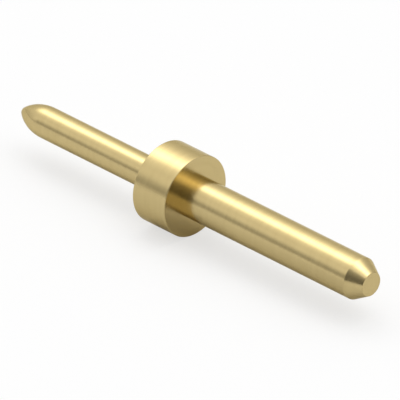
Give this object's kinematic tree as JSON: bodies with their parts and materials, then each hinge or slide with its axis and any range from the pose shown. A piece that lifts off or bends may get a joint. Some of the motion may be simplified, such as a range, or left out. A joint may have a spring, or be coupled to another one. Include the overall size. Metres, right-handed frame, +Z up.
{
  "type": "solder pin",
  "caption": "Turned solder pin with a bullet-nosed plug pin, a round collar that seats on the circuit board and a thicker solder tail with a chamfered end.",
  "frame": {"origin": "centre of the collar's seating face, on the pin's axis, which is also half way along the pin", "axes": "+X along the pin's axis towards the chamfered end of the solder tail, with the pin level and +Z up"},
  "size_m": [0.0112, 0.002, 0.002],
  "materials": {
    "gold_plating": "satin gold plating over turned brass"
  },
  "bodies": {
    "root": {"solder_pin": "gold_plating"}
  },
  "joints": []
}
